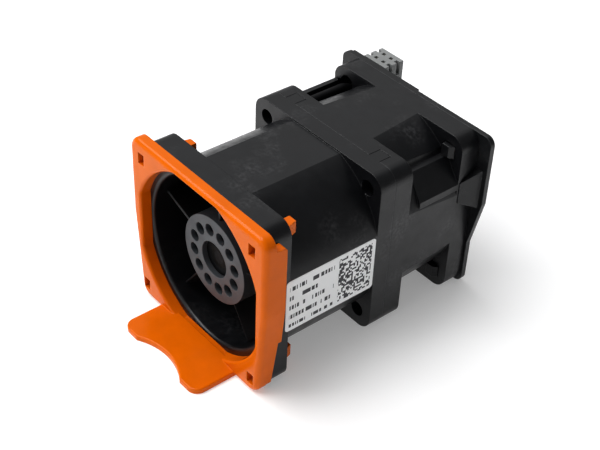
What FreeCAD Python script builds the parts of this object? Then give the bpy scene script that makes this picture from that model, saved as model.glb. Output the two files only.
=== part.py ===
import FreeCAD, Part
import math
import os

# Dual-rotor server fan module, in millimetres.
# Y runs along the air flow: the front fan lies at negative Y and the rear fan at positive Y.
# The origin is on the rotor axis, in the seam between the two fan housings. Z is up.
# Inside each fan, a depth is the distance from the seam.

# Frames and duct
frame_size = 40.0
frame_corner_r = 3.3
hole_inset = 4.0
joint_hole_r = 1.75
pin_hole_r = 1.95
front_fan_length = 32.0
rear_fan_length = 23.6
front_flange_thickness = 5.4
front_joint_thickness = 4.0
rear_joint_thickness = 4.6
rear_flange_thickness = 5.0
duct_side_wall = 1.0
duct_wall = 2.0
front_flat_inset = 0.35
rear_duct_flare = 0.45
bolt_groove_clearance = 0.25
inlet_lip_r = 1.0
inlet_lip_rim = 0.2
wall_sink = 0.4

# Motor base and struts
base_r = 10.4
base_floor_depth = 0.8
base_floor_thickness = 1.0
board_ledge_height = 0.6
board_ledge_width = 0.9
base_rim_thickness = 0.9
base_rim_depth = 6.0
collar_r = 4.85
strut_count = 4
strut_phase = 50.0
vane_depth = 6.6
vane_thickness = 1.2
vane_lean = 14.0
rear_strut_width = 1.6
rear_strut_depth = 4.2
lead_strut_width = 4.6

# Impellers
hub_r = 10.0
hub_sleeve_thickness = 0.8
hub_face_thickness = 1.2
front_hub_recess = 2.0
rear_hub_recess = 1.4
rotor_open_depth = 6.8
tip_clearance = 0.4
front_blade_count = 5
rear_blade_count = 5
blade_end_margin = 0.9
blade_thickness = 1.3
blade_root_sweep = 6.5
blade_tip_sweep = 14.0
blade_camber = 1.8
blade_edge = 0.5
blade_overrun = 1.0
front_blade_phase = 35.0
rear_blade_phase = 10.0
hub_hole_count = 12
hub_hole_r = 1.35
hub_hole_circle_r = 6.94
hub_hole_phase = 12.0
hub_centre_hole_r = 4.1

# Rotor cup, magnet, bush and shaft
cup_wall = 0.7
cup_end_thickness = 0.7
cup_end_hole_r = 2.4
magnet_thickness = 1.0
magnet_open_gap = 0.5
magnet_end_gap = 2.0
bush_r = 3.2
bush_length = 3.0
shaft_r = 1.5
shaft_end_depth = 1.6
clip_groove_r = 1.2
clip_thickness = 0.4
clip_r = 2.4
clip_slot_width = 1.6

# Ball bearings
bearing_outer_r = 3.5
bearing_width = 3.0
inboard_bearing_depth = 3.0
race_inner_land_r = 2.15
race_outer_land_r = 2.85
ball_r = 0.6
ball_count = 6
ball_running_clearance = 0.03
ball_sides = 8
ball_latitudes = (-67.5, -22.5, 22.5, 67.5)
spring_length = 2.2
spring_wire_r = 0.2
spring_clearance = 0.22
spring_turns = 3

# Bearing tube and stator
tube_wall = 0.6
tube_shoulder = 0.4
tube_end_overlap = 0.3
air_gap = 0.35
tooth_count = 4
tooth_width = 2.2
tooth_head_thickness = 0.75
tooth_head_angle = 76.0
core_back_iron = 0.8
core_start_depth = 8.6
front_core_end_gap = 8.5
rear_core_end_gap = 5.3
insulator_thickness = 0.5
coil_build = 0.95
coil_corner_r = 0.75
coil_clearance = 0.05
board_thickness = 0.8
board_clearance = 0.1
board_chip_height = 0.5
# Angle on the board, length round it and width along its radius: driver, sensor, capacitors
board_chips = ((205.0, 3.0, 2.2), (260.0, 1.4, 1.2), (315.0, 2.0, 1.0), (10.0, 1.2, 1.8))

# Front guard with its tab
guard_thickness = 2.7
guard_overhang = 2.2
guard_top_overhang = 0.5
guard_low_overhang = 0.1
guard_corner_r = 2.6
guard_edge_r = 1.2
guard_taper_top = 2.0
guard_opening_margin = 1.6
guard_opening_side_margin = 0.35
guard_opening_edge_r = 0.6
guard_fit = 0.15
skirt_depth = 2.6
skirt_top_drop = 2.6
skirt_corner_r = 0.8
skirt_step = -7.0
skirt_step_depth = 1.8
skirt_low_depth = 1.0
tab_width = 26.0
tab_reach = 9.9
tab_thickness = 1.2
tab_corner_r = 2.4
tab_edge_r = 0.35
tab_notch_width = 15.6
tab_notch_depth = 2.3
pin_width = 1.9
pin_height = 2.8
pin_offset = 0.15
pin_duct_gap = 0.05
barb_reach = 1.0
barb_length = 3.6
barb_edge_r = 0.4
window_width = 2.0
window_height = 2.7
window_offset = 2.2
window_rise = 0.5

# Rear bracket and connector pocket
plate_thickness = 1.2
plate_overhang = 3.1
plate_low_overhang = 0.6
plate_taper_top = 3.4
plate_taper_rise = 11.5
plate_corner_r = 2.0
rib_height = 0.5
rib_width = 1.2
rib_right_end = -0.2
ramp_reach = 1.9
ramp_length = 4.6
ramp_low = 4.3
ramp_plate_low = 2.0
ramp_plate_high = 11.6
bracket_fit = 0.1
bracket_barb_length = 1.0
pocket_wall = 1.1
pocket_shelf = 0.7
pocket_depth = 5.1
pocket_lap = 1.0
connector_inset = 5.3
connector_width = 7.0
connector_depth = 5.5
connector_height = 7.0
connector_rise = -0.1
connector_front_gap = 0.8
contact_pitch = 2.35
contact_hole = 0.9
contact_hole_depth = 5.0
contact_thickness = 0.3
contact_recess = 0.6
side_slot_width = 1.0
side_slot_depth = 1.0
side_slot_height = 3.1
seat_clearance = 0.1

# Side rails on the rear duct
right_rail_low = 7.8
right_rail_high = 9.3
right_rail_width = 5.8
right_rail_top_inset = 4.0
right_rail_pin_gap = 0.15
right_rail_start = 7.6
left_rail_thickness = 1.2
left_rail_low = 8.0
left_rail_high = 15.6
left_rail_foot_low = 6.0
left_rail_foot_width = 2.7

# Leads
lead_r = 0.9
lead_duct_gap = 0.5
lead_side_offset = 0.97
lead_bend_share = 0.45
lead_end_share = 0.9
lead_bend_limit = 2.2
lead_path_clearance = 0.25
lead_rail_clearance = 0.1
lead_slot_wall = 0.3
lead_slot_skin = 1.1
lead_window_height = 3.0
lead_flange_gap = 0.6
front_lead_start_r = 7.2
rear_lead_start_r = 6.2
front_lead_plate_offset = -2.6
front_lead_plate_drop = 2.4
front_lead_entry_offset = -1.7
front_lead_entry_drop = 2.8
rear_lead_plate_offset = -1.4
rear_lead_plate_drop = 0.75
rear_lead_entry_offset = 1.3
rear_lead_entry_drop = 2.6

# Housing snap hooks
hook_width = 3.0
hook_thickness = 1.0
hook_length = 3.0
hook_hole_distance = 2.8
hook_root = 0.5
hook_fit = 0.1

# Label
label_length = 23.2
label_height = 13.0
label_thickness = 0.1
label_centre_z = -0.3
label_corner_r = 0.8
label_rear_gap = 0.3

AXIS = FreeCAD.Vector(0, 1, 0)
ORIGIN = FreeCAD.Vector(0, 0, 0)
FRONT = -1
REAR = 1

half = frame_size / 2
hole_offset = half - hole_inset
hook_offset = hole_offset - hook_hole_distance
duct_bore_r = half - duct_side_wall
duct_outer_r = duct_bore_r + duct_wall
front_face_y = -front_fan_length
rear_face_y = rear_fan_length
tip_r = duct_bore_r - tip_clearance
cup_outer_r = hub_r - hub_sleeve_thickness
cup_inner_r = cup_outer_r - cup_wall
magnet_inner_r = cup_inner_r - magnet_thickness
stator_r = magnet_inner_r - air_gap
tube_outer_r = bearing_outer_r + tube_wall
floor_top_depth = base_floor_depth + base_floor_thickness
board_depth = floor_top_depth + board_ledge_height
board_top_depth = board_depth + board_thickness
collar_top_depth = core_start_depth - insulator_thickness
front_hub_depth = front_fan_length - front_hub_recess
rear_hub_depth = rear_fan_length - rear_hub_recess
cup_floor_thickness = hub_face_thickness + cup_end_thickness
front_core_length = front_hub_depth - cup_floor_thickness - front_core_end_gap - core_start_depth
rear_core_length = rear_hub_depth - cup_floor_thickness - rear_core_end_gap - core_start_depth
rim_inner_r = base_r - base_rim_thickness
lead_angle = strut_phase + 90.0
lead_depth = rear_strut_depth + lead_r
lead_radius_from_axis = duct_outer_r + lead_r + lead_duct_gap
guard_side = half + guard_overhang
guard_taper_side = half + guard_low_overhang
guard_top = half + guard_top_overhang
guard_bottom = -half
guard_opening_r = duct_bore_r + guard_opening_margin
guard_opening_flat = duct_bore_r + guard_opening_side_margin
skirt_top = half - skirt_top_drop
pin_low = hole_offset + pin_offset - pin_height / 2
right_rail_top = pin_low - right_rail_pin_gap
plate_half_width = half + plate_overhang
plate_low_width = half + plate_low_overhang
plate_top = half
plate_taper_bottom = -half + plate_taper_rise
connector_centre_x = -half + connector_inset
connector_top = half + connector_rise
connector_bottom = connector_top - connector_height
pocket_top = connector_bottom + pocket_lap
pocket_floor = connector_bottom - pocket_depth


def vec(x, y, z):
    return FreeCAD.Vector(x, y, z)


def span(side, depth_a, depth_b):
    """Lowest and highest Y of a piece that lies between two depths from the seam."""
    a, b = side * depth_a, side * depth_b
    return min(a, b), max(a, b)


def cylinder(r, y0, y1, x=0.0, z=0.0):
    return Part.makeCylinder(r, y1 - y0, vec(x, y0, z), AXIS)


def ring(outer_r, inner_r, y0, y1):
    return cylinder(outer_r, y0, y1).cut(cylinder(inner_r, y0, y1))


def block(x0, x1, y0, y1, z0, z1):
    return Part.makeBox(x1 - x0, y1 - y0, z1 - z0, vec(x0, y0, z0))


def spin(shape, degrees):
    """Copy of a shape, turned about the rotor axis from +X towards +Z."""
    turned = shape.copy()
    turned.rotate(ORIGIN, AXIS, -degrees)
    return turned


def prism(points, y0, y1):
    """Straight-sided solid between two Y planes, from (x, z) corners."""
    corners = [vec(x, y0, z) for x, z in points]
    face = Part.Face(Part.makePolygon(corners + corners[:1]))
    return face.extrude(vec(0, y1 - y0, 0))


def plan_prism(points, z0, z1):
    """Straight-sided solid between two heights, from (x, y) corners."""
    corners = [vec(x, y, z0) for x, y in points]
    face = Part.Face(Part.makePolygon(corners + corners[:1]))
    return face.extrude(vec(0, 0, z1 - z0))


def side_prism(points, x0, x1):
    """Straight-sided solid across the object, from (y, z) corners."""
    corners = [vec(x0, y, z) for y, z in points]
    face = Part.Face(Part.makePolygon(corners + corners[:1]))
    return face.extrude(vec(x1 - x0, 0, 0))


def edges_along(shape, direction, keep):
    """Straight edges of a shape that run along a direction and pass a test on their middle."""
    found = []
    for edge in shape.Edges:
        if not isinstance(edge.Curve, (Part.Line, Part.LineSegment)):
            continue
        run = edge.Vertexes[1].Point - edge.Vertexes[0].Point
        if abs(abs(run.normalize().dot(direction)) - 1) < 1e-6 and keep(edge.CenterOfMass):
            found.append(edge)
    return found


def always(point):
    return True


def rounded_square(size, radius, y0, y1):
    square = block(-size / 2, size / 2, y0, y1, -size / 2, size / 2)
    return square.makeFillet(radius, edges_along(square, AXIS, always))


def corner_holes(radius, y0, y1):
    holes = []
    for x in (-hole_offset, hole_offset):
        for z in (-hole_offset, hole_offset):
            holes.append(cylinder(radius, y0, y1, x, z))
    return Part.makeCompound(holes)


def front_duct(y0, y1):
    """Round duct wall with four flats; the top and bottom ones lie a little below the flanges."""
    flat = half - front_flat_inset
    return cylinder(duct_outer_r, y0, y1).common(block(-half, half, y0, y1, -flat, flat))


def rear_duct(y0, y1):
    """Duct wall that narrows towards the rear flange, flat at the frame size, with bolt grooves."""
    wall = Part.makeCone(duct_outer_r + rear_duct_flare, duct_outer_r, y1 - y0, vec(0, y0, 0), AXIS)
    wall = wall.common(block(-half, half, y0, y1, -half, half))
    return wall.cut(corner_holes(joint_hole_r + bolt_groove_clearance, y0, y1))


def motor_base(side):
    """Cup that carries the circuit board and the bearing tube."""
    floor = cylinder(base_r, *span(side, base_floor_depth, floor_top_depth))
    ledge = ring(base_r, rim_inner_r - board_ledge_width, *span(side, floor_top_depth, board_depth))
    rim = ring(base_r, rim_inner_r, *span(side, board_depth, base_rim_depth))
    collar = cylinder(collar_r, *span(side, floor_top_depth, collar_top_depth))
    cup = floor.fuse([ledge, rim, collar])
    start = lead_points(-1)[0]
    lead_hole = cylinder(lead_r + lead_path_clearance, *span(side, base_floor_depth, board_depth),
                         start.x, start.z)
    return cup.cut([cylinder(tube_outer_r, *span(side, 0, front_fan_length)), lead_hole])


def stator_vane():
    """Thin guide vane between the front motor base and the duct, leaning with the swirl."""
    y0, y1 = span(FRONT, base_floor_depth, vane_depth)
    vane = block(base_r - wall_sink, duct_outer_r, y0, y1, -vane_thickness / 2, vane_thickness / 2)
    middle = vec(0, (y0 + y1) / 2, 0)
    vane.rotate(middle, vec(1, 0, 0), vane_lean)
    return vane.common(ring(duct_bore_r + wall_sink, base_r - wall_sink, y0, y1))


def rear_strut(width):
    y0, y1 = span(REAR, base_floor_depth, rear_strut_depth)
    strut = block(base_r - wall_sink, duct_outer_r, y0, y1, -width / 2, width / 2)
    return strut.common(ring(duct_bore_r + wall_sink, base_r - wall_sink, y0, y1))


def hook(top, across, root, fit):
    """Snap tongue of the front housing that lies in the rear housing's flange."""
    outer = top * half
    inner = top * (half - hook_thickness - fit)
    z0, z1 = min(outer, inner), max(outer, inner)
    width = hook_width / 2 + fit
    return block(across - width, across + width, -root, hook_length + fit, z0, z1)


def hooks(root, fit):
    shapes = []
    for top in (-1, 1):
        for across in (-hook_offset, hook_offset):
            shapes.append(hook(top, across, root, fit))
    return shapes


def front_housing():
    flange_back = front_face_y + front_flange_thickness
    flange = rounded_square(frame_size, frame_corner_r, front_face_y, flange_back)
    joint = rounded_square(frame_size, frame_corner_r, -front_joint_thickness, 0)
    body = flange.fuse([front_duct(front_face_y, 0), joint])
    body = body.cut(cylinder(duct_bore_r, front_face_y, 0))
    lip = [e for e in body.Edges if abs(e.CenterOfMass.y - front_face_y) < 1e-6
           and isinstance(e.Curve, Part.Circle) and abs(e.Curve.Radius - duct_bore_r) < 1e-6]
    body = body.makeFillet(min(inlet_lip_r, half - duct_bore_r - inlet_lip_rim), lip)
    body = body.cut([corner_holes(pin_hole_r, front_face_y, flange_back),
                     corner_holes(joint_hole_r, -front_joint_thickness, 0)])
    vanes = [spin(stator_vane(), strut_phase + 360.0 / strut_count * i) for i in range(strut_count)]
    return body.fuse([motor_base(FRONT)] + vanes + hooks(hook_root, 0.0)).removeSplitter()


def right_rail():
    """Solid rail beside the label side, with a sloped top that runs into the duct."""
    y0, y1 = right_rail_start, rear_face_y - rear_flange_thickness
    root, inner, top = half - right_rail_width, half - right_rail_top_inset, right_rail_top
    rail = prism([(root, right_rail_low), (half, right_rail_low), (half, right_rail_high),
                  (inner, top), (root, top)], y0, y1)
    return rail.cut(cylinder(duct_bore_r + wall_sink, y0, y1))


def left_rail():
    """Upright wall that holds the leads against the duct."""
    y0, y1 = rear_joint_thickness, rear_face_y - rear_flange_thickness
    wall = block(-half, -half + left_rail_thickness, y0, y1, left_rail_low, left_rail_high)
    foot = block(-half, -half + left_rail_foot_width, y0, y1, left_rail_foot_low, left_rail_low)
    rail = wall.fuse(foot).cut(cylinder(duct_bore_r + wall_sink, y0, y1))
    places = [lead_points(way)[3] for way in (-1, 1)]
    return rail.cut([cylinder(lead_r + lead_rail_clearance, y0, y1, p.x, p.z) for p in places])


def lead_window():
    """Opening through the rear duct wall where both leads leave the strut."""
    width = 2 * (lead_side_offset + lead_r + lead_path_clearance)
    window = block(rim_inner_r - lead_r, lead_radius_from_axis + lead_r, rear_strut_depth,
                   rear_strut_depth + lead_window_height, -width / 2, width / 2)
    return spin(window, lead_angle)


def rear_housing():
    flange_front = rear_face_y - rear_flange_thickness
    joint = rounded_square(frame_size, frame_corner_r, 0, rear_joint_thickness)
    flange = rounded_square(frame_size, frame_corner_r, flange_front, rear_face_y)
    duct = rear_duct(rear_joint_thickness, flange_front)
    body = joint.fuse([duct, flange, right_rail(), left_rail()])
    body = body.cut(cylinder(duct_bore_r, 0, rear_face_y))
    body = body.cut([corner_holes(joint_hole_r, 0, rear_joint_thickness),
                     corner_holes(pin_hole_r, flange_front, rear_face_y)])
    struts = []
    for i in range(strut_count):
        angle = strut_phase + 360.0 / strut_count * i
        width = lead_strut_width if abs(angle - lead_angle) < 1 else rear_strut_width
        struts.append(spin(rear_strut(width), angle))
    body = body.fuse([motor_base(REAR)] + struts)
    recesses = hooks(0.0, hook_fit)
    return body.cut([lead_window(), lead_slot(lead_slot_wall)] + recesses)


def lead_slot(wall_to_bore):
    """Slot through the rear flange and the bracket plate, where the leads pass to the connector."""
    points = lead_points(-1)
    reach = lead_r + lead_path_clearance
    y0 = rear_face_y - rear_flange_thickness
    y1 = rear_face_y + plate_thickness
    low = points[4].z - reach
    high = lead_points(1)[2].z + reach
    slot = block(-half + lead_slot_skin, lead_points(1)[4].x + reach, y0, y1, low, high)
    return slot.cut(cylinder(duct_bore_r + wall_to_bore, y0, y1))


def blade(side, lead_y, trail_y, root_r):
    """One cambered blade: sections on two planes, lofted and trimmed to the hub and the tip."""
    wires = []
    ends = ((root_r - blade_overrun, blade_root_sweep), (tip_r + blade_overrun, blade_tip_sweep))
    for radius, sweep in ends:
        start = vec(radius, lead_y, side * sweep / 2)
        end = vec(radius, trail_y, -side * sweep / 2)
        middle = (start + end) * 0.5
        chord = end - start
        normal = vec(0, -chord.z, chord.y).normalize() * side
        upper = middle + normal * (blade_camber + blade_thickness / 2)
        lower = middle + normal * (blade_camber - blade_thickness / 2)
        edge = normal * (blade_edge / 2)
        top = Part.Arc(start + edge, upper, end + edge).toShape()
        tail = Part.makeLine(end + edge, end - edge)
        under = Part.Arc(end - edge, lower, start - edge).toShape()
        nose = Part.makeLine(start - edge, start + edge)
        wires.append(Part.Wire([top, tail, under, nose]))
    solid = Part.makeLoft(wires, True, True)
    return solid.common(ring(tip_r, root_r, lead_y - blade_overrun, trail_y + blade_overrun))


def impeller(side, hub_depth, blade_count, phase):
    """Plastic hub sleeve with its drilled face and the ring of blades."""
    y0, y1 = span(side, rotor_open_depth, hub_depth)
    hub = cylinder(hub_r, y0, y1)
    inside = span(side, rotor_open_depth, hub_depth - hub_face_thickness)
    hub = hub.cut(cylinder(cup_outer_r, *inside))
    face = span(side, hub_depth - hub_face_thickness, hub_depth)
    cuts = [cylinder(hub_centre_hole_r, *face)]
    for i in range(hub_hole_count):
        hole = cylinder(hub_hole_r, *face, hub_hole_circle_r)
        cuts.append(spin(hole, hub_hole_phase + 360.0 / hub_hole_count * i))
    hub = hub.cut(cuts)
    lead_y, trail_y = y0 + blade_end_margin, y1 - blade_end_margin
    one = blade(side, lead_y, trail_y, hub_r - hub_sleeve_thickness / 2)
    blades = [spin(one, phase + 360.0 / blade_count * i) for i in range(blade_count)]
    return hub.fuse(blades)


def rotor_cup(side, hub_depth):
    """Drawn steel cup inside the impeller hub."""
    end = hub_depth - hub_face_thickness
    cup = cylinder(cup_outer_r, *span(side, rotor_open_depth, end))
    cup = cup.cut(cylinder(cup_inner_r, *span(side, rotor_open_depth, end - cup_end_thickness)))
    return cup.cut(cylinder(cup_end_hole_r, *span(side, end - cup_end_thickness, end)))


def magnet_ring(side, hub_depth):
    end = hub_depth - hub_face_thickness - cup_end_thickness - magnet_end_gap
    return ring(cup_inner_r, magnet_inner_r, *span(side, rotor_open_depth + magnet_open_gap, end))


def bush_start(hub_depth):
    return hub_depth - hub_face_thickness - cup_end_thickness - bush_length


def outboard_bearing_depth(hub_depth):
    return bush_start(hub_depth) - spring_length - bearing_width


def hub_bush(side, hub_depth):
    """Brass bush that joins the shaft to the rotor cup, with a spigot through the cup's end."""
    start = bush_start(hub_depth)
    shoulder = start + bush_length
    body = ring(bush_r, shaft_r, *span(side, start, shoulder))
    spigot = ring(cup_end_hole_r, shaft_r, *span(side, shoulder, shoulder + cup_end_thickness))
    return body.fuse(spigot).removeSplitter()


def shaft(side, hub_depth):
    end = hub_depth - hub_face_thickness
    bar = cylinder(shaft_r, *span(side, shaft_end_depth, end))
    groove_top = inboard_bearing_depth
    groove = ring(shaft_r, clip_groove_r, *span(side, groove_top - clip_thickness, groove_top))
    return bar.cut(groove)


def retaining_ring(side):
    """Open clip in the shaft groove, against the inboard bearing."""
    y0, y1 = span(side, inboard_bearing_depth - clip_thickness, inboard_bearing_depth)
    clip = ring(clip_r, clip_groove_r, y0, y1)
    return clip.cut(block(0, clip_r, y0, y1, -clip_slot_width / 2, clip_slot_width / 2))


def preload_spring(side, hub_depth):
    """Coil spring between the hub bush and the outboard bearing's inner race."""
    start = outboard_bearing_depth(hub_depth) + bearing_width + spring_wire_r
    height = spring_length - 2 * spring_wire_r
    coil_r = shaft_r + spring_clearance + spring_wire_r
    helix = Part.makeHelix(height / spring_turns, height, coil_r)
    w = spring_wire_r
    corners = [vec(coil_r - w, 0, -w), vec(coil_r + w, 0, -w), vec(coil_r + w, 0, w), vec(coil_r - w, 0, w)]
    section = Part.makePolygon(corners + corners[:1])
    coil = Part.Wire(helix).makePipeShell([section], True, True)
    coil.rotate(ORIGIN, vec(1, 0, 0), -90 * side)
    coil.translate(vec(0, side * start, 0))
    return coil


def revolve(points):
    """Turned solid from (radius, y) corners, about the rotor axis."""
    corners = [vec(r, y, 0) for r, y in points]
    face = Part.Face(Part.makePolygon(corners + corners[:1]))
    return face.revolve(ORIGIN, AXIS, 360)


def race_groove(y_middle):
    """Track that both races are cut with: an eight-sided ring round the balls' path."""
    centre_r = (race_inner_land_r + race_outer_land_r) / 2
    corner_r = (ball_r + ball_running_clearance) / math.cos(math.pi / 8)
    angles = [math.pi / 8 + math.pi / 4 * i for i in range(8)]
    return revolve([(centre_r + corner_r * math.cos(a), y_middle + corner_r * math.sin(a)) for a in angles])


def bearing_depths(hub_depth):
    return inboard_bearing_depth, outboard_bearing_depth(hub_depth)


def outer_races(side, hub_depth):
    races = []
    for depth in bearing_depths(hub_depth):
        race = ring(bearing_outer_r, race_outer_land_r, *span(side, depth, depth + bearing_width))
        races.append(race.cut(race_groove(side * (depth + bearing_width / 2))))
    return Part.makeCompound(races)


def inner_races(side, hub_depth):
    races = []
    for depth in bearing_depths(hub_depth):
        race = ring(race_inner_land_r, shaft_r, *span(side, depth, depth + bearing_width))
        races.append(race.cut(race_groove(side * (depth + bearing_width / 2))))
    return Part.makeCompound(races)


def ball(y_middle):
    """One ball with flat facets: level polygons whose corners lie on the ball's sphere."""
    turn = 2 * math.pi / ball_sides
    middle_x = (race_inner_land_r + race_outer_land_r) / 2
    levels = []
    for degrees in ball_latitudes:
        r, z = ball_r * math.cos(math.radians(degrees)), ball_r * math.sin(math.radians(degrees))
        levels.append([vec(middle_x + r * math.cos(turn * i), y_middle + r * math.sin(turn * i), z)
                       for i in range(ball_sides)])
    outlines = [levels[0], levels[-1]]
    for lower, upper in zip(levels, levels[1:]):
        for i in range(ball_sides):
            outlines.append([lower[i - 1], lower[i], upper[i], upper[i - 1]])
    faces = [Part.Face(Part.makePolygon(corners + corners[:1])) for corners in outlines]
    return Part.makeSolid(Part.makeShell(faces))


def bearing_balls(side, hub_depth):
    balls = []
    for depth in bearing_depths(hub_depth):
        one = ball(side * (depth + bearing_width / 2))
        balls += [spin(one, 360.0 / ball_count * i) for i in range(ball_count)]
    return Part.makeCompound(balls)


def bearing_tube(side, hub_depth):
    """Brass tube with a seat for a bearing at each end."""
    inboard, outboard = bearing_depths(hub_depth)
    end = outboard + bearing_width + tube_end_overlap
    tube = ring(tube_outer_r, bearing_outer_r, *span(side, base_floor_depth, end))
    shoulder = ring(bearing_outer_r, bearing_outer_r - tube_shoulder,
                    *span(side, inboard + bearing_width, outboard))
    return tube.fuse(shoulder).removeSplitter()


def stator_profile(y0, y1):
    """Back iron ring with T-shaped teeth, for the laminations and the insulator's end plates."""
    back_r = tube_outer_r + core_back_iron
    head_inner_r = stator_r - tooth_head_thickness
    body = cylinder(back_r, y0, y1)
    arm = block(0, head_inner_r + tooth_head_thickness / 2, y0, y1, -tooth_width / 2, tooth_width / 2)
    head_half = math.radians(tooth_head_angle / 2)
    far = stator_r * 2
    wedge = prism([(0, 0), (far * math.cos(head_half), -far * math.sin(head_half)),
                   (far * math.cos(head_half), far * math.sin(head_half))], y0, y1)
    head = ring(stator_r, head_inner_r, y0, y1).common(wedge)
    tooth = arm.fuse(head)
    teeth = [spin(tooth, 45.0 + 360.0 / tooth_count * i) for i in range(tooth_count)]
    return body.fuse(teeth).cut(cylinder(tube_outer_r, y0, y1)).removeSplitter()


def stator_core(side, core_length):
    return stator_profile(*span(side, core_start_depth, core_start_depth + core_length))


def stator_insulator(side, core_length):
    start, end = core_start_depth, core_start_depth + core_length
    lower = stator_profile(*span(side, start - insulator_thickness, start))
    upper = stator_profile(*span(side, end, end + insulator_thickness))
    return Part.makeCompound([lower, upper])


def windings(side, core_length):
    """One coil round each tooth."""
    gap = coil_clearance
    inner_w = tooth_width / 2 + gap
    outer_w = inner_w + coil_build
    start = core_start_depth - insulator_thickness - gap
    end = core_start_depth + core_length + insulator_thickness + gap
    near_r = tube_outer_r + core_back_iron + gap
    far_r = stator_r - tooth_head_thickness - gap
    inner_y = span(side, start, end)
    outer_y = span(side, start - coil_build, end + coil_build)
    coil = block(near_r, far_r, *outer_y, -outer_w, outer_w)
    coil = coil.makeFillet(coil_corner_r, edges_along(coil, vec(1, 0, 0), always))
    coil = coil.cut(block(near_r, far_r, *inner_y, -inner_w, inner_w))
    coil = coil.common(cylinder(far_r, *outer_y))
    return Part.makeCompound([spin(coil, 45.0 + 360.0 / tooth_count * i) for i in range(tooth_count)])


def circuit_board(side):
    """Ring-shaped board with its driver chip, sensor and capacitors."""
    y0, y1 = span(side, board_depth, board_top_depth)
    board = ring(rim_inner_r - board_clearance, collar_r + board_clearance, y0, y1)
    chips = []
    low, high = span(side, board_top_depth, board_top_depth + board_chip_height)
    middle = (rim_inner_r + collar_r) / 2
    for angle, length, width in board_chips:
        chip = block(middle - width / 2, middle + width / 2, low, high, -length / 2, length / 2)
        chips.append(spin(chip, angle))
    if side == REAR:
        reach = lead_r + board_clearance
        slot = block(front_lead_start_r - reach, rim_inner_r, y0, y1,
                     lead_side_offset - reach, lead_side_offset + reach)
        board = board.cut(spin(slot, lead_angle))
    return board.fuse(chips)


def above_bore(x, z):
    """Height z, or the least height at x that keeps a lead out of the duct's bore and its wall."""
    reach = duct_bore_r + lead_slot_wall + lead_r
    return max(z, math.sqrt(max(reach ** 2 - x ** 2, 0.0)))


def lead_points(way):
    """Route of one lead: the front fan's for way -1, the rear fan's for way 1.

    The two lie side by side on the widest strut, pass along the left rail and through
    the flange, and end in the connector. The front one comes through both motor bases.
    """
    turn = math.radians(lead_angle)
    out = vec(math.cos(turn), 0, math.sin(turn))
    across = vec(-math.sin(turn), 0, math.cos(turn)) * (-way * lead_side_offset)
    flange_y = rear_face_y - rear_flange_thickness - lead_flange_gap
    plate_y = rear_face_y + plate_thickness
    entry_y = connector_middle_y()
    socket = vec(connector_centre_x, 0, connector_bottom)
    if way < 0:
        start = out * front_lead_start_r - AXIS * board_depth
        corner = out * front_lead_start_r + AXIS * lead_depth
        plate = socket + vec(front_lead_plate_offset, plate_y, -front_lead_plate_drop)
        entry = vec(front_lead_entry_offset, entry_y, 0)
        drop = front_lead_entry_drop
    else:
        start = out * rear_lead_start_r + AXIS * (board_top_depth + lead_r)
        corner = out * (rim_inner_r - lead_r) + AXIS * lead_depth
        plate = socket + vec(rear_lead_plate_offset, plate_y, -rear_lead_plate_drop)
        entry = vec(rear_lead_entry_offset, entry_y, 0)
        drop = rear_lead_entry_drop
    plate.z = above_bore(plate.x, plate.z)
    far = out * lead_radius_from_axis
    return [start + across, corner + across, far + across + AXIS * lead_depth,
            far + across + AXIS * flange_y, plate, entry + socket - vec(0, 0, drop), entry + socket]


def run_and_bends(points):
    """Straight runs joined by tangent arcs, each as large as its two runs allow.

    Gives a list of ("run", start, end) and ("bend", start, centre, axis, degrees).
    """
    pieces = []
    here = points[0]
    for i in range(1, len(points) - 1):
        before, corner, after = points[i - 1:i + 2]
        a, b = before - corner, after - corner
        turn = math.pi - a.getAngle(b)
        room_a = a.Length * (lead_end_share if i == 1 else lead_bend_share)
        room_b = b.Length * (lead_end_share if i == len(points) - 2 else lead_bend_share)
        reach = min(room_a, room_b, lead_bend_limit * math.tan(turn / 2))
        a.normalize()
        b.normalize()
        start, end = corner + a * reach, corner + b * reach
        radius = reach / math.tan(turn / 2)
        centre = corner + (a + b).normalize() * (radius / math.cos(turn / 2))
        print("lead bend radius", round(radius, 2))
        pieces.append(("run", here, start))
        pieces.append(("bend", start, centre, a.cross(b).normalize() * -1, math.degrees(turn)))
        here = end
    pieces.append(("run", here, points[-1]))
    return pieces


def lead(way):
    """Sleeved lead bundle: a cylinder for each run and a turned piece for each bend."""
    solids = []
    length = 0.0
    for piece in run_and_bends(lead_points(way)):
        if piece[0] == "run":
            start, end = piece[1:]
            along = end - start
            solids.append(Part.makeCylinder(lead_r, along.Length, start, along))
            length += along.Length
            heading = along
        else:
            start, centre, axis, degrees = piece[1:]
            section = Part.Face(Part.Wire(Part.Circle(start, heading, lead_r).toShape()))
            solids.append(section.revolve(centre, axis, degrees))
            length += math.radians(degrees) * (start - centre).Length
    tube = solids[0].fuse(solids[1:])
    expected = math.pi * lead_r ** 2 * length
    print("lead volume ratio", round(tube.Volume / expected, 4), "length", round(length, 1))
    return tube


def at_heights(low, high):
    """Test for edges that lie at one of two heights."""
    def test(point):
        return min(abs(point.z - low), abs(point.z - high)) < 1e-6
    return test


def guard_outline(y0, y1):
    """Orange frame's outline: wide above, drawn in towards the bottom, with round corners."""
    side, low = guard_side, guard_taper_side
    outline = prism([(-low, guard_bottom), (low, guard_bottom), (side, guard_taper_top),
                     (side, guard_top), (-side, guard_top), (-side, guard_taper_top)], y0, y1)
    corners = edges_along(outline, AXIS, at_heights(guard_bottom, guard_top))
    return outline.makeFillet(guard_corner_r, corners)


def edges_on_face(shape, y):
    """Edges that lie wholly in one plane across the air flow."""
    return [e for e in shape.Edges if abs(e.BoundBox.YMin - y) < 1e-6 and abs(e.BoundBox.YMax - y) < 1e-6]


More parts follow.
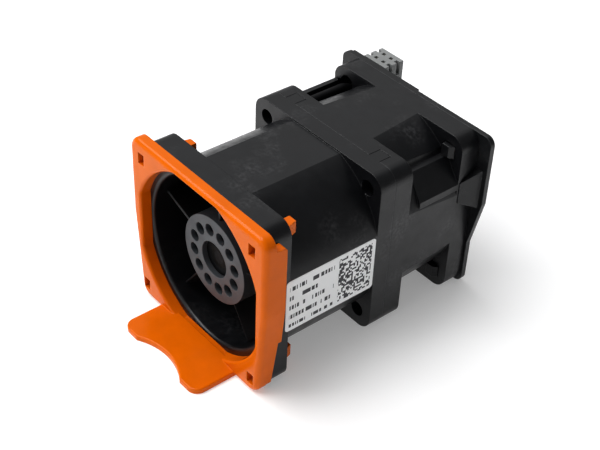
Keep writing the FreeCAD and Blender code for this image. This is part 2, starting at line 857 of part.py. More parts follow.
def mouth_section(reach, y0):
    """Half section of the guard's opening, from the axis out to a wall with a rounded front edge."""
    r = guard_opening_edge_r
    bulge = r * (1 - math.cos(math.pi / 4))
    front, back = vec(reach + r, y0, 0), vec(reach, y0 + r, 0)
    edge = Part.Arc(front, vec(reach + bulge, y0 + bulge, 0), back).toShape()
    corners = [vec(reach, front_face_y, 0), vec(0, front_face_y, 0), vec(0, y0, 0)]
    sides = Part.makePolygon([back] + corners + [front])
    return Part.Face(Part.Wire([edge] + sides.Edges))


def guard_opening(y0):
    """Round opening with four flats, its front edge rounded all the way round."""
    round_part = mouth_section(guard_opening_r, y0).revolve(ORIGIN, AXIS, 360)
    slab = mouth_section(guard_opening_flat, y0).extrude(vec(0, 0, 2 * frame_size))
    slab.translate(vec(0, 0, -frame_size))
    slab = slab.fuse(slab.mirror(ORIGIN, vec(1, 0, 0))).removeSplitter()
    return round_part.common(slab).common(spin(slab, 90))


def guard_plate(y0):
    """Front plate of the guard, with its front edges rounded but for the one that carries the tab."""
    plate = guard_outline(y0, front_face_y)
    edges = [e for e in edges_on_face(plate, y0) if e.BoundBox.ZMin > guard_bottom + 1e-6]
    return plate.makeFillet(guard_edge_r, edges).cut(guard_opening(y0))


def guard_skirts():
    """Side walls of the guard that lap over the front flange, shallower below."""
    y0, y1 = front_face_y - guard_thickness / 2, front_face_y + skirt_depth
    wide = frame_size
    skirts = guard_outline(y0, y1).cut(block(-half - guard_fit, half + guard_fit, y0, y1, -wide, wide))
    profile = side_prism([(y0, guard_bottom), (front_face_y + skirt_low_depth, guard_bottom),
                          (front_face_y + skirt_step_depth, skirt_step), (y1, skirt_step),
                          (y1, skirt_top), (y0, skirt_top)], -wide, wide)
    corner = edges_along(profile, vec(1, 0, 0), lambda p: p.y > y1 - 1e-6 and p.z > skirt_top - 1e-6)
    return skirts.common(profile.makeFillet(skirt_corner_r, corner))


def tab(y_front):
    """Finger tab: a thin plate with round corners and a hollow for the fingertip."""
    w, reach = tab_width / 2, tab_reach
    plate = block(-w, w, y_front - reach, y_front + guard_thickness / 2,
                  guard_bottom, guard_bottom + tab_thickness)

    def outer(point):
        return abs(point.y - (y_front - reach)) < 1e-6
    plate = plate.makeFillet(tab_corner_r, edges_along(plate, vec(0, 0, 1), outer))
    chord, sag = tab_notch_width / 2, tab_notch_depth
    notch_r = (chord ** 2 + sag ** 2) / (2 * sag)
    centre = vec(0, y_front - reach + sag - notch_r, guard_bottom)
    plate = plate.cut(Part.makeCylinder(notch_r, tab_thickness, centre))
    top, back = guard_bottom + tab_thickness, y_front + guard_thickness / 2
    rim = [e for e in plate.Edges if e.BoundBox.ZMin > top - 1e-6 and e.CenterOfMass.y < back - 1e-6]
    return plate.makeFillet(tab_edge_r, rim)


def guard_pin(x_side, z_side, start):
    """Snap pin through a flange hole, with a barb that grips behind the flange."""
    back = front_face_y + front_flange_thickness
    x0, x1 = hole_offset - pin_width / 2, hole_offset + pin_width / 2
    z0 = pin_low
    corners = [(x0, start), (x1, start), (x1, back + bracket_fit), (x1 + barb_reach, back + bracket_fit),
               (x1, back + barb_length), (x0, back + barb_length)]
    pin = plan_prism([(x_side * x, y) for x, y in corners], z0, z0 + pin_height)
    slope = [e for e in pin.Edges if abs(e.CenterOfMass.y - (back + barb_length)) < 1e-6]
    pin = pin.makeFillet(barb_edge_r, slope)
    pin = pin.cut(cylinder(duct_outer_r + pin_duct_gap, back, back + barb_length))
    return pin if z_side > 0 else pin.mirror(ORIGIN, vec(0, 0, 1))


def front_guard():
    y0 = front_face_y - guard_thickness
    plate = guard_plate(y0)
    windows = []
    pins = []
    for x_side in (-1, 1):
        for z_side in (-1, 1):
            x = x_side * (hole_offset + window_offset)
            z = z_side * (hole_offset + window_rise)
            windows.append(block(x - window_width / 2, x + window_width / 2, y0, front_face_y,
                                 z - window_height / 2, z + window_height / 2))
            pins.append(guard_pin(x_side, z_side, front_face_y - guard_thickness / 2))
    plate = plate.fuse([guard_skirts(), tab(y0)]).cut(windows)
    return plate.fuse(pins).removeSplitter()


def plate_outline(y0, y1):
    wide, low = plate_half_width, plate_low_width
    outline = prism([(-low, -half), (low, -half), (low, plate_taper_bottom), (wide, plate_taper_top),
                     (wide, plate_top), (-wide, plate_top), (-wide, plate_taper_top),
                     (-low, plate_taper_bottom)], y0, y1)
    corners = edges_along(outline, AXIS, at_heights(-half, plate_top))
    return outline.makeFillet(plate_corner_r, corners)


def ramp(x_side):
    """Gusset beside the rear flange that carries the wide part of the plate and grows towards it."""
    y0, y1 = rear_face_y - ramp_length, rear_face_y
    inner = x_side * (half + bracket_fit)
    outer = x_side * (half + ramp_reach)
    wedge = plan_prism([(inner, y0), (outer, y1), (inner, y1)], ramp_plate_low, ramp_plate_high)
    return wedge.common(side_prism([(y0, ramp_low), (y0, right_rail_high), (y1, ramp_plate_high),
                                    (y1, ramp_plate_low)], -plate_half_width, plate_half_width))


def connector_middle_y():
    return rear_face_y + plate_thickness + connector_front_gap + connector_depth / 2


def connector_box(extra, z0, z1):
    x, y = connector_centre_x, connector_middle_y()
    w, d = connector_width / 2 + extra, connector_depth / 2 + extra
    return block(x - w, x + w, y - d, y + d, z0, z1)


def connector_pocket():
    """Open-topped pocket behind the plate that holds the connector and hides the leads."""
    outside = connector_box(seat_clearance + pocket_wall, pocket_floor, pocket_top)
    y0 = rear_face_y + plate_thickness / 2
    front = connector_middle_y()
    x, w = connector_centre_x, connector_width / 2 + seat_clearance + pocket_wall
    outside = outside.fuse(block(x - w, x + w, y0, front, pocket_floor, pocket_top))
    inside_w = connector_width / 2 + seat_clearance
    inside = connector_box(seat_clearance, connector_bottom, pocket_top)
    shelf = pocket_shelf
    lower = block(x - inside_w, x + inside_w - shelf, rear_face_y + plate_thickness,
                  connector_middle_y() + connector_depth / 2 - shelf, pocket_floor + pocket_wall,
                  connector_bottom)
    lead_side = block(x - inside_w, x + inside_w - shelf, rear_face_y + plate_thickness,
                      connector_middle_y(), connector_bottom, pocket_top)
    return outside, inside.fuse([lower, lead_side])


def bracket_pins():
    """Snap pins of the bracket, at the three flange holes that carry no lead."""
    front = rear_face_y - rear_flange_thickness
    pins = []
    for x_side, z_side in ((1, 1), (1, -1), (-1, -1)):
        x0 = hole_offset - pin_width / 2
        x1 = x0 + pin_width
        corners = [(x0, rear_face_y + plate_thickness / 2), (x1, rear_face_y + plate_thickness / 2),
                   (x1, front - bracket_fit), (x1 + barb_reach, front - bracket_fit),
                   (x1, front - bracket_barb_length), (x0, front - bracket_barb_length)]
        z0, z1 = sorted((z_side * pin_low, z_side * (pin_low + pin_height)))
        pin = plan_prism([(x_side * x, y) for x, y in corners], z0, z1)
        pins.append(pin.cut(cylinder(duct_outer_r + pin_duct_gap, front - bracket_barb_length, front)))
    return pins


def rear_bracket():
    y0, y1 = rear_face_y, rear_face_y + plate_thickness
    plate = plate_outline(y0, y1).cut(cylinder(duct_bore_r, y0, y1))
    rib = block(-plate_half_width + plate_corner_r, rib_right_end, y1, y1 + rib_height,
                plate_top - rib_width, plate_top)
    pocket, hollow = connector_pocket()
    plate = plate.fuse([rib, ramp(-1), ramp(1), pocket]).cut(hollow)
    plate = plate.cut(lead_slot(-2 * lead_r))
    return plate.fuse(bracket_pins()).removeSplitter()


def contact_places():
    x, y = connector_centre_x, connector_middle_y()
    step = contact_pitch / 2
    return [(x + i * step, y + j * step) for i in (-1, 1) for j in (-1, 1)]


def connector_housing():
    """Grey connector body with contact cavities on top and slots down two sides."""
    body = connector_box(0.0, connector_bottom, connector_top)
    cuts = []
    half_hole = contact_hole / 2
    for x, y in contact_places():
        cuts.append(block(x - half_hole, x + half_hole, y - half_hole, y + half_hole,
                          connector_top - contact_hole_depth, connector_top))
        outer = 1 if x > connector_centre_x else -1
        face = connector_centre_x + outer * connector_width / 2
        x0, x1 = sorted((face, face - outer * side_slot_depth))
        cuts.append(block(x0, x1, y - side_slot_width / 2, y + side_slot_width / 2,
                          connector_top - side_slot_height, connector_top))
    return body.cut(cuts)


def connector_contacts():
    """Spring leaf in the bottom half of each cavity, standing on the cavity floor."""
    leaves = []
    bottom = connector_top - contact_hole_depth
    for x, y in contact_places():
        x0 = x - contact_hole / 2
        leaves.append(block(x0, x0 + contact_thickness, y - contact_hole / 2, y + contact_hole / 2,
                            bottom, connector_top - contact_recess))
    return Part.makeCompound(leaves)


def label():
    y1 = -front_joint_thickness - label_rear_gap
    y0 = y1 - label_length
    z0 = label_centre_z - label_height / 2
    plate = block(half, half + label_thickness, y0, y1, z0, z0 + label_height)
    return plate.makeFillet(label_corner_r, edges_along(plate, vec(1, 0, 0), always))


def fan_pieces(side, name, hub_depth, core_length, blade_count, phase):
    return {
        name + "_impeller": impeller(side, hub_depth, blade_count, phase),
        name + "_rotor_cup": rotor_cup(side, hub_depth),
        name + "_magnet_ring": magnet_ring(side, hub_depth),
        name + "_hub_bush": hub_bush(side, hub_depth),
        name + "_shaft": shaft(side, hub_depth),
        name + "_retaining_ring": retaining_ring(side),
        name + "_preload_spring": preload_spring(side, hub_depth),
        name + "_bearing_inner_races": inner_races(side, hub_depth),
        name + "_bearing_outer_races": outer_races(side, hub_depth),
        name + "_bearing_balls": bearing_balls(side, hub_depth),
        name + "_bearing_tube": bearing_tube(side, hub_depth),
        name + "_stator_core": stator_core(side, core_length),
        name + "_stator_insulator": stator_insulator(side, core_length),
        name + "_windings": windings(side, core_length),
        name + "_circuit_board": circuit_board(side),
    }


def main():
    pieces = {
        "front_housing": front_housing(),
        "rear_housing": rear_housing(),
        "front_guard": front_guard(),
        "rear_bracket": rear_bracket(),
        "connector_housing": connector_housing(),
        "connector_contacts": connector_contacts(),
        "label": label(),
        "front_leads": lead(-1),
        "rear_leads": lead(1),
    }
    pieces.update(fan_pieces(FRONT, "front", front_hub_depth, front_core_length,
                             front_blade_count, front_blade_phase))
    pieces.update(fan_pieces(REAR, "rear", rear_hub_depth, rear_core_length,
                             rear_blade_count, rear_blade_phase))
    os.makedirs("parts", exist_ok=True)
    for name, shape in pieces.items():
        solids = shape.Solids
        good = shape.isValid() and all(s.Volume > 0 for s in solids)
        if not good or not solids:
            print("CHECK", name, "solids", len(solids), "valid", shape.isValid())
        out = solids[0] if len(solids) == 1 else Part.makeCompound(solids)
        out.exportStep("parts/" + name + ".step")
    print(len(pieces), "nodes")


main()
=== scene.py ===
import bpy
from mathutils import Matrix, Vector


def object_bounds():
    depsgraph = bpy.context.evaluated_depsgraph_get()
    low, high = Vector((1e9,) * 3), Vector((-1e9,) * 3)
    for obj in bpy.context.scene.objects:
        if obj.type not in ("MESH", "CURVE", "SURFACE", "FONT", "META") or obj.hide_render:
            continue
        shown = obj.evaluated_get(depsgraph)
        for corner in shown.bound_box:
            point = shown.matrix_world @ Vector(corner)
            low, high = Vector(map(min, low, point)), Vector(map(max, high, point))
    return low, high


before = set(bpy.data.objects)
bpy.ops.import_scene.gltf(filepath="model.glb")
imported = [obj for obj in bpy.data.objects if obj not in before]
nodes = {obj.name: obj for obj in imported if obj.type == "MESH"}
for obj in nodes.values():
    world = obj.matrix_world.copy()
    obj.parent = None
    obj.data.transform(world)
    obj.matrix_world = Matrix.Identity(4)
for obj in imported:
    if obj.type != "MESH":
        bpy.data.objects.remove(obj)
cad_box = [[float(v) for v in corner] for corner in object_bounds()]

import math

import bpy
from mathutils import Matrix, Vector

# Dual-rotor server fan module, in metres, in the frame of its solids.
# Y runs along the air flow from the front guard to the rear bracket, and Z is up.

MM = 0.001
WHITE = (1.0, 1.0, 1.0, 1.0)

# Camera at the photograph's viewing angle; angles in degrees, lens and sensor in millimetres
CAMERA_AZIMUTH = 48.76
CAMERA_ELEVATION = 38.25
CAMERA_ROLL = 2.69
CAMERA_DISTANCE = 258.2 * MM
CAMERA_AIM = Vector((0, -4.4, 0)) * MM
CAMERA_AIM_RIGHT = -2.27 * MM
CAMERA_AIM_UP = -2.50 * MM
CAMERA_LENS = 72.42
CAMERA_CLIP_START = 0.01
SENSOR_WIDTH = 36.0

FLOOR_SIZE = 6.0
FLOOR_GLOW = 0.22
FLOOR_ROUGHNESS = 0.8
FLOOR_SCALE = 6.0
FLOOR_TINTS = ((0.80, 0.80, 0.81), (0.84, 0.84, 0.84))

# Soft studio light: world strength, and area lamps with their power in watts, all aimed at the origin
AMBIENT = 0.2
LAMPS = {
    "key": dict(place=(-0.35, -0.25, 0.75), size=(0.7, 0.7), power=7.6),
    "front": dict(place=(0.05, -0.9, 0.35), size=(0.6, 0.5), power=1.2),
    "sky": dict(place=(-0.7, 0.6, 0.75), size=(1.3, 1.3), power=2.0),
}

# Noise textures: scales are in features per metre, and a range is where a noise value is cut off
NOISE_ROUGHNESS = 0.55
USUAL_RANGE = (0.3, 0.7)
UNIT_RANGE = (0.0, 1.0)

# Shading at sharp edges: the rounding that catches light, and the reach and contrast of worn rims
EDGE_RADIUS = 0.22 * MM
WORN_RADIUS = 0.25 * MM
WORN_GAIN = 6.0
BEVEL_SAMPLES = 6
WORN_SCALE = 700.0
WORN_RANGE = (0.4, 0.7)
WORN_AMOUNT = (0.15, 1.0)

# Cloudy colour and uneven gloss of moulded plastic
CLOUD_SCALE = 160.0
GLOSS_SCALE = 420.0
GLOSS_SPREAD = 0.07

# Dull patches, broken up into specks
DUST_COLOUR = (0.11, 0.11, 0.115)
PATCH_SCALE = 90.0
PATCH_RANGE = (0.53, 0.70)
SPECK_SCALE = 1300.0
SPECK_RANGE = (0.42, 0.72)

# Impeller: beyond the radius of its hub, the blades are painted darker, as painted shade inside the duct
HUB_RADIUS = 10.05 * MM
BLADE_SCALE = 300.0
BLADE_SHADE_TINTS = ((0.008, 0.0085, 0.0095), (0.012, 0.0125, 0.014))

# Turned and drawn metal
LINE_SCALE = 900.0
LINE_RANGE = (0.35, 0.65)
LINE_SHADE = 0.8
LINE_DEPTH = 3e-6
LINE_GLOSS_LOSS = 0.06
LINE_GLOSS_GAIN = 0.1

# Label: paper, and a print of bars and a block of cells that mean nothing
PAPER_TINTS = ((0.84, 0.85, 0.86), (0.90, 0.90, 0.90))
INK = (0.035, 0.035, 0.04)
PAPER_SCALE = 500.0
PAPER_SHEEN = 0.4
PAPER_GLOSS_SCALE = 300.0
PAPER_GLOSS = (0.38, 0.5)
PAPER_TOOTH_SCALE = 4000.0
PAPER_TOOTH_DEPTH = 2e-6
LABEL_MARGIN = 0.9 * MM
CELL_SIZE = 0.42 * MM
CELL_BLOCK_LENGTH = 8.8 * MM
CELL_BLANK_SHARE = 0.52
BAR_PITCH = 2.4 * MM
BAR_HEIGHT = 1.05 * MM
BAR_CELL = 0.26 * MM
BAR_BLANK_SHARE = 0.42
BAR_BLOCK_GAP = 1.2 * MM
WORD_LENGTH = 1.6 * MM
WORD_BLANK_SHARE = 0.25

# Enamelled wire of the windings
WIRE_SCALE = 1500.0
WIRE_TINTS = ((0.25, 0.07, 0.025), (0.72, 0.30, 0.13))
WIRE_ENAMEL = 0.4
WIRE_GLOSS_SCALE = 700.0
WIRE_GLOSS = (0.2, 0.4)
WIRE_DEPTH = 3e-5

# Circuit board: traces under solder mask
TRACE_SCALE = 900.0
TRACE_STRETCH = (1.0, 1.0, 4.0)
TRACE_RANGE = (0.48, 0.52)
TRACE_DEPTH = 1e-5
MASK_TINTS = ((0.01, 0.09, 0.03), (0.02, 0.16, 0.05))
MASK_COAT = 0.3
MASK_GLOSS_SCALE = 300.0
MASK_GLOSS = (0.3, 0.45)

# Finishes that moulded_plastic makes; magnet and cup have the same kind of dull, grainy surface, and the
# cup's near black is painted shade inside the hub
PLASTICS = {
    "housing_black": dict(colour=(0.0062, 0.0066, 0.008), roughness=0.36, worn=(0.014, 0.015, 0.017),
                          specular=0.46, dust=0.38),
    "guard_orange": dict(colour=(0.69, 0.137, 0.001), roughness=0.2, worn=(0.80, 0.25, 0.02),
                         mottle=0.06, grain_depth=2e-6, specular=0.17),
    "bracket_black": dict(colour=(0.008, 0.0085, 0.0095), roughness=0.34, worn=(0.07, 0.072, 0.078),
                          specular=0.42, dust=0.25),
    "connector_grey": dict(colour=(0.24, 0.247, 0.247), roughness=0.5, worn=(0.36, 0.37, 0.37), mottle=0.08),
    "lead_black": dict(colour=(0.007, 0.007, 0.008), roughness=0.6, worn=(0.012, 0.012, 0.012),
                       grain=1800.0, specular=0.2),
    # impeller_black: a dark grey of its own, raised paler to make up for a weaker front lamp, so partly
    # painted light on the hub's face
    "impeller_black": dict(colour=(0.058, 0.064, 0.071), roughness=0.42, worn=(0.09, 0.094, 0.10),
                           specular=0.40),
    # cup_steel: near black as painted shade inside the hub, not a finish of the steel
    "cup_steel": dict(colour=(0.004, 0.004, 0.0045), roughness=0.6, worn=(0.008, 0.008, 0.009),
                      grain=2200.0, specular=0.12),
    "magnet_dark": dict(colour=(0.035, 0.033, 0.032), roughness=0.6, worn=(0.08, 0.08, 0.08),
                        grain_depth=1e-5),
    "insulator_plastic": dict(colour=(0.62, 0.60, 0.52), roughness=0.5, worn=(0.75, 0.73, 0.66), mottle=0.06),
}

# Finishes that brushed_metal makes; bush and shaft are painted nearly black as painted shade, since the
# middle of the hub is dark in the photograph
METALS = {
    "contact_metal": dict(colour=(0.80, 0.66, 0.38), roughness=0.28),
    # bush_brass and shaft_steel: near black as painted shade in the middle of the hub, not the metals' own
    # colour
    "bush_brass": dict(colour=(0.010, 0.009, 0.008), roughness=0.55),
    "shaft_steel": dict(colour=(0.012, 0.012, 0.013), roughness=0.5),
    "spring_steel": dict(colour=(0.5, 0.5, 0.52), roughness=0.32),
    "bearing_steel": dict(colour=(0.66, 0.66, 0.68), roughness=0.18),
    "core_steel": dict(colour=(0.36, 0.36, 0.38), roughness=0.42, stretch=(1.0, 40.0, 1.0)),
}


def own_box(piece):
    """Lowest and highest corner of a piece in its own space."""
    corners = [Vector(corner) for corner in piece.bound_box]
    low = Vector(min(c[i] for c in corners) for i in range(3))
    high = Vector(max(c[i] for c in corners) for i in range(3))
    return low, high


def add_camera():
    azimuth, elevation, roll = (math.radians(a) for a in (CAMERA_AZIMUTH, CAMERA_ELEVATION, CAMERA_ROLL))
    back = Vector((math.sin(azimuth) * math.cos(elevation), -math.cos(azimuth) * math.cos(elevation),
                   math.sin(elevation)))
    level = (-back).cross(Vector((0, 0, 1))).normalized()
    upright = level.cross(-back)
    right = level * math.cos(roll) + upright * math.sin(roll)
    up = upright * math.cos(roll) - level * math.sin(roll)
    data = bpy.data.cameras.new("camera")
    data.sensor_width = SENSOR_WIDTH
    data.lens = CAMERA_LENS
    data.clip_start = CAMERA_CLIP_START
    camera = bpy.data.objects.new("camera", data)
    bpy.context.scene.collection.objects.link(camera)
    camera.matrix_world = Matrix((right, up, back)).transposed().to_4x4()
    camera.location = CAMERA_AIM + right * CAMERA_AIM_RIGHT + up * CAMERA_AIM_UP + back * CAMERA_DISTANCE
    bpy.context.scene.camera = camera


def add_lamp(name, place, size, power):
    data = bpy.data.lights.new(name, "AREA")
    data.shape = "RECTANGLE"
    data.size, data.size_y = size
    data.energy = power
    lamp = bpy.data.objects.new(name, data)
    bpy.context.scene.collection.objects.link(lamp)
    lamp.location = place
    lamp.rotation_euler = (-Vector(place)).to_track_quat("-Z", "Y").to_euler()


def add_light():
    world = bpy.data.worlds.new("studio")
    bpy.context.scene.world = world
    world.use_nodes = True
    background = world.node_tree.nodes["Background"]
    background.inputs["Color"].default_value = WHITE
    background.inputs["Strength"].default_value = AMBIENT
    for name, lamp in LAMPS.items():
        add_lamp(name, **lamp)
    bpy.context.scene.view_settings.view_transform = "Standard"
    bpy.context.scene.view_settings.look = "Medium High Contrast"


def new_material(name, **sockets):
    """Material with its own Principled shader; the constants are set on the shader's sockets."""
    material = bpy.data.materials.new(name)
    material.use_nodes = True
    shader = material.node_tree.nodes["Principled BSDF"]
    for socket, value in sockets.items():
        shader.inputs[socket.replace("_", " ")].default_value = value
    return material, material.node_tree, shader


def add_node(tree, kind, **values):
    node = tree.nodes.new(kind)
    for key, value in values.items():
        setattr(node, key, value)
    return node


def own_coordinates(tree):
    """Place in the piece's own space, which turns with it."""
    return add_node(tree, "ShaderNodeTexCoord").outputs["Object"]


def noise(tree, scale, detail=3.0, stretch=None):
    """Noise value in the piece's own space, with features of about 1 / scale metres."""
    coordinates = own_coordinates(tree)
    if stretch is not None:
        mapping = add_node(tree, "ShaderNodeMapping")
        mapping.inputs["Scale"].default_value = stretch
        tree.links.new(coordinates, mapping.inputs["Vector"])
        coordinates = mapping.outputs["Vector"]
    texture = add_node(tree, "ShaderNodeTexNoise")
    texture.inputs["Scale"].default_value = scale
    texture.inputs["Detail"].default_value = detail
    texture.inputs["Roughness"].default_value = NOISE_ROUGHNESS
    tree.links.new(coordinates, texture.inputs["Vector"])
    return texture.outputs["Fac"]


def remap(tree, value, source, target):
    """Value moved from one range to another and held inside it."""
    node = add_node(tree, "ShaderNodeMapRange")
    for socket, number in zip(("From Min", "From Max", "To Min", "To Max"), (*source, *target)):
        node.inputs[socket].default_value = number
    tree.links.new(value, node.inputs["Value"])
    return node.outputs["Result"]


def math_node(tree, operation, a, b=0.0, **values):
    """Result of a math node; each operand is a number or a value output."""
    node = add_node(tree, "ShaderNodeMath", operation=operation, **values)
    for socket, value in zip(node.inputs, (a, b)):
        if isinstance(value, (int, float)):
            socket.default_value = value
        else:
            tree.links.new(value, socket)
    return node.outputs["Value"]


def mix_colours(tree, factor, first, second):
    """Blend of two colours; each is a tuple or a colour output."""
    node = add_node(tree, "ShaderNodeMix", data_type="RGBA")
    tree.links.new(factor, node.inputs["Factor"])
    sockets = [s for s in node.inputs if s.type == "RGBA"]
    for socket, colour in zip(sockets, (first, second)):
        if isinstance(colour, tuple):
            socket.default_value = (*colour, 1.0)
        else:
            tree.links.new(colour, socket)
    return [s for s in node.outputs if s.type == "RGBA"][0]


def add_bump(tree, shader, height, depth, under=None):
    """Fine relief of a given depth in metres, laid over another normal if one is given."""
    node = add_node(tree, "ShaderNodeBump")
    node.inputs["Strength"].default_value = 1.0
    node.inputs["Distance"].default_value = depth
    tree.links.new(height, node.inputs["Height"])
    if under is not None:
        tree.links.new(under, node.inputs["Normal"])
    tree.links.new(node.outputs["Normal"], shader.inputs["Normal"])


def rounded_normal(tree, radius):
    """Normal that turns smoothly over sharp edges, so that they catch light as moulded ones do."""
    node = add_node(tree, "ShaderNodeBevel", samples=BEVEL_SAMPLES)
    node.inputs["Radius"].default_value = radius
    return node.outputs["Normal"]


def edge_mask(tree):
    """Value from 0 on open faces to 1 on sharp edges, from how far a rounded normal leans."""
    rounded = rounded_normal(tree, WORN_RADIUS)
    geometry = add_node(tree, "ShaderNodeNewGeometry")
    dot = add_node(tree, "ShaderNodeVectorMath", operation="DOT_PRODUCT")
    tree.links.new(rounded, dot.inputs[0])
    tree.links.new(geometry.outputs["Normal"], dot.inputs[1])
    lean = math_node(tree, "SUBTRACT", 1.0, dot.outputs["Value"])
    return math_node(tree, "MULTIPLY", lean, WORN_GAIN, use_clamp=True)


def scuffs(tree, strength):
    """Sparse dull patches and specks, as handling leaves them on dark plastic."""
    patches = remap(tree, noise(tree, PATCH_SCALE, detail=2.0), PATCH_RANGE, UNIT_RANGE)
    specks = remap(tree, noise(tree, SPECK_SCALE, detail=5.0), SPECK_RANGE, (0.0, strength))
    return math_node(tree, "MULTIPLY", patches, specks)


def moulded_plastic(name, colour, roughness, worn, mottle=0.18, grain=3500.0, grain_depth=4e-6,
                    specular=0.5, dust=0.0):
    """Injection-moulded plastic: cloudy colour, uneven gloss, fine grain and paler worn edges."""
    material, tree, shader = new_material(name, Specular_IOR_Level=specular)
    darker = tuple(c * (1 - mottle) for c in colour)
    paler = tuple(min(1.0, c * (1 + mottle)) for c in colour)
    cloud = remap(tree, noise(tree, CLOUD_SCALE, detail=4.0), USUAL_RANGE, UNIT_RANGE)
    base = mix_colours(tree, cloud, darker, paler)
    patchy = remap(tree, noise(tree, WORN_SCALE), WORN_RANGE, WORN_AMOUNT)
    wear = math_node(tree, "MULTIPLY", edge_mask(tree), patchy)
    if dust > 0:
        base = mix_colours(tree, scuffs(tree, dust), base, DUST_COLOUR)
    tree.links.new(mix_colours(tree, wear, base, worn), shader.inputs["Base Color"])
    gloss = (roughness - GLOSS_SPREAD, roughness + GLOSS_SPREAD)
    uneven = remap(tree, noise(tree, GLOSS_SCALE, detail=5.0), USUAL_RANGE, gloss)
    tree.links.new(uneven, shader.inputs["Roughness"])
    add_bump(tree, shader, noise(tree, grain, detail=2.0), grain_depth, rounded_normal(tree, EDGE_RADIUS))
    return material


def brushed_metal(name, colour, roughness, stretch=(1.0, 12.0, 1.0)):
    """Turned or drawn metal with fine lines round or along it."""
    material, tree, shader = new_material(name, Metallic=1.0)
    lines = noise(tree, LINE_SCALE, detail=4.0, stretch=stretch)
    darker = tuple(c * LINE_SHADE for c in colour)
    base = mix_colours(tree, remap(tree, lines, LINE_RANGE, UNIT_RANGE), darker, colour)
    tree.links.new(base, shader.inputs["Base Color"])
    gloss = (roughness - LINE_GLOSS_LOSS, roughness + LINE_GLOSS_GAIN)
    tree.links.new(remap(tree, lines, USUAL_RANGE, gloss), shader.inputs["Roughness"])
    add_bump(tree, shader, lines, LINE_DEPTH)
    return material


def paint_blade_shade(material):
    """Leaves the hub of the impeller as it is and paints all that lies beyond it darker, as painted shade on
    the blades inside the duct.
    """
    tree = material.node_tree
    base = tree.nodes["Principled BSDF"].inputs["Base Color"]
    flat = add_node(tree, "ShaderNodeVectorMath", operation="MULTIPLY")
    flat.inputs[1].default_value = (1.0, 0.0, 1.0)
    tree.links.new(own_coordinates(tree), flat.inputs[0])
    radius = add_node(tree, "ShaderNodeVectorMath", operation="LENGTH")
    tree.links.new(flat.outputs["Vector"], radius.inputs[0])
    outside = math_node(tree, "GREATER_THAN", radius.outputs["Value"], HUB_RADIUS)
    paint = base.links[0].from_socket
    # painted shade: near-black tints on the blades beyond the hub
    blades = mix_colours(tree, noise(tree, BLADE_SCALE), *BLADE_SHADE_TINTS)
    tree.links.new(mix_colours(tree, outside, paint, blades), base)


def between(tree, value, low, high):
    """1 where a value lies between two limits, else 0."""
    above = math_node(tree, "GREATER_THAN", value, low)
    below = math_node(tree, "LESS_THAN", value, high)
    return math_node(tree, "MULTIPLY", above, below)


def random_cells(tree, along, across, cell_along, cell_across, blank_share):
    """0 in a random share of the cells of a grid and 1 in the others."""
    corner = add_node(tree, "ShaderNodeCombineXYZ")
    for socket, value, size in zip(("X", "Y"), (along, across), (cell_along, cell_across)):
        step = math_node(tree, "FLOOR", math_node(tree, "DIVIDE", value, size))
        tree.links.new(step, corner.inputs[socket])
    dice = add_node(tree, "ShaderNodeTexWhiteNoise", noise_dimensions="2D")
    tree.links.new(corner.outputs["Vector"], dice.inputs["Vector"])
    return math_node(tree, "GREATER_THAN", dice.outputs["Value"], blank_share)


def label_print(tree):
    """Ink mask: a block of random cells at the rear end, and rows of short random bars before it."""
    low, high = own_box(nodes["label"])
    split = add_node(tree, "ShaderNodeSeparateXYZ")
    tree.links.new(own_coordinates(tree), split.inputs["Vector"])
    along, height = split.outputs["Y"], split.outputs["Z"]
    block_end = high.y - LABEL_MARGIN
    block_start = block_end - CELL_BLOCK_LENGTH
    bars_end = block_start - BAR_BLOCK_GAP
    inside = between(tree, height, low.z + LABEL_MARGIN, high.z - LABEL_MARGIN)
    cells = random_cells(tree, along, height, CELL_SIZE, CELL_SIZE, CELL_BLANK_SHARE)
    block = math_node(tree, "MULTIPLY", cells, between(tree, along, block_start, block_end))
    phase = math_node(tree, "MODULO", math_node(tree, "SUBTRACT", height, low.z), BAR_PITCH)
    row = between(tree, phase, (BAR_PITCH - BAR_HEIGHT) / 2, (BAR_PITCH + BAR_HEIGHT) / 2)
    strokes = random_cells(tree, along, height, BAR_CELL, BAR_PITCH, BAR_BLANK_SHARE)
    words = random_cells(tree, along, height, WORD_LENGTH, BAR_PITCH, WORD_BLANK_SHARE)
    strokes = math_node(tree, "MULTIPLY", strokes, words)
    bars = math_node(tree, "MULTIPLY", math_node(tree, "MULTIPLY", row, strokes),
                     between(tree, along, low.y + LABEL_MARGIN, bars_end))
    return math_node(tree, "MULTIPLY", inside, math_node(tree, "MAXIMUM", block, bars))


def label_material():
    """White film with a faint paper tooth, printed with bars and cells that mean nothing."""
    material, tree, shader = new_material("label_white", Specular_IOR_Level=PAPER_SHEEN)
    paper = mix_colours(tree, noise(tree, PAPER_SCALE, detail=4.0), *PAPER_TINTS)
    tree.links.new(mix_colours(tree, label_print(tree), paper, INK), shader.inputs["Base Color"])
    gloss = remap(tree, noise(tree, PAPER_GLOSS_SCALE), USUAL_RANGE, PAPER_GLOSS)
    tree.links.new(gloss, shader.inputs["Roughness"])
    add_bump(tree, shader, noise(tree, PAPER_TOOTH_SCALE, detail=2.0), PAPER_TOOTH_DEPTH)
    return material


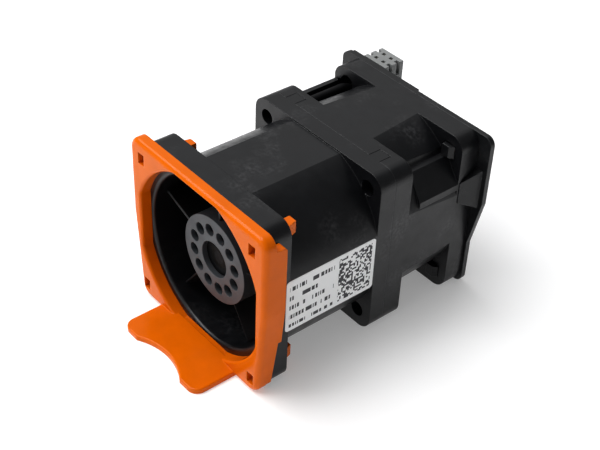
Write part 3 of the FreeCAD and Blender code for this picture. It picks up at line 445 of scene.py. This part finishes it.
def winding_material():
    """Enamelled copper wire, wound in close turns along the coil."""
    material, tree, shader = new_material("winding_copper", Metallic=1.0, Coat_Weight=WIRE_ENAMEL)
    wave = add_node(tree, "ShaderNodeTexWave", wave_type="RINGS", rings_direction="Y")
    wave.inputs["Scale"].default_value = WIRE_SCALE
    tree.links.new(own_coordinates(tree), wave.inputs["Vector"])
    base = mix_colours(tree, wave.outputs["Fac"], *WIRE_TINTS)
    tree.links.new(base, shader.inputs["Base Color"])
    gloss = remap(tree, noise(tree, WIRE_GLOSS_SCALE), USUAL_RANGE, WIRE_GLOSS)
    tree.links.new(gloss, shader.inputs["Roughness"])
    add_bump(tree, shader, wave.outputs["Fac"], WIRE_DEPTH)
    return material


def board_material():
    """Green solder mask over faint copper traces."""
    material, tree, shader = new_material("board_green", Coat_Weight=MASK_COAT)
    traces = noise(tree, TRACE_SCALE, detail=1.0, stretch=TRACE_STRETCH)
    sharp = remap(tree, traces, TRACE_RANGE, UNIT_RANGE)
    base = mix_colours(tree, sharp, *MASK_TINTS)
    tree.links.new(base, shader.inputs["Base Color"])
    gloss = remap(tree, noise(tree, MASK_GLOSS_SCALE), USUAL_RANGE, MASK_GLOSS)
    tree.links.new(gloss, shader.inputs["Roughness"])
    add_bump(tree, shader, traces, TRACE_DEPTH)
    return material


def dress_solids():
    """Gives each node's slots the finish of the same name."""
    finishes = {name: moulded_plastic(name, **values) for name, values in PLASTICS.items()}
    finishes.update({name: brushed_metal(name, **values) for name, values in METALS.items()})
    finishes["label_white"] = label_material()
    finishes["winding_copper"] = winding_material()
    finishes["board_green"] = board_material()
    paint_blade_shade(finishes["impeller_black"])
    for node in nodes.values():
        for place in node.material_slots:
            key = place.material.name.split(".")[0]
            place.material = finishes[key]


def add_floor():
    low = cad_box[0][2]
    half = FLOOR_SIZE / 2
    mesh = bpy.data.meshes.new("floor")
    mesh.from_pydata([(-half, -half, low), (half, -half, low), (half, half, low), (-half, half, low)],
                     [], [(0, 1, 2, 3)])
    floor = bpy.data.objects.new("floor", mesh)
    bpy.context.scene.collection.objects.link(floor)
    material, tree, shader = new_material("floor_pale", Roughness=FLOOR_ROUGHNESS, Emission_Color=WHITE,
                                          Emission_Strength=FLOOR_GLOW)
    tree.links.new(mix_colours(tree, noise(tree, FLOOR_SCALE), *FLOOR_TINTS), shader.inputs["Base Color"])
    mesh.materials.append(material)


add_camera()
add_light()
add_floor()
dress_solids()
